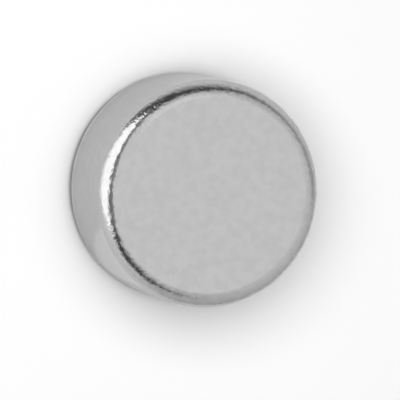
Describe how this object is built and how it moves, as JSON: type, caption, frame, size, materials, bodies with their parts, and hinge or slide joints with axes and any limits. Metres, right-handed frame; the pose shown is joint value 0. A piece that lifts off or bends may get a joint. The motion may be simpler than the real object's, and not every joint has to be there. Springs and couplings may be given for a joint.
{
  "type": "disc magnet",
  "caption": "Short nickel-plated disc magnet with flat faces, a straight round wall and softly rounded edges.",
  "frame": {"origin": "centre of the lower flat face, which the magnet rests on", "axes": "+Z along the disc's axis, from the lower face to the upper face; X and Y are any two directions across it"},
  "size_m": [0.015, 0.015, 0.008],
  "materials": {
    "nickel_plating": "bright nickel plating over a fine sintered grain"
  },
  "bodies": {
    "root": {"magnet_disc": "nickel_plating"}
  },
  "joints": []
}
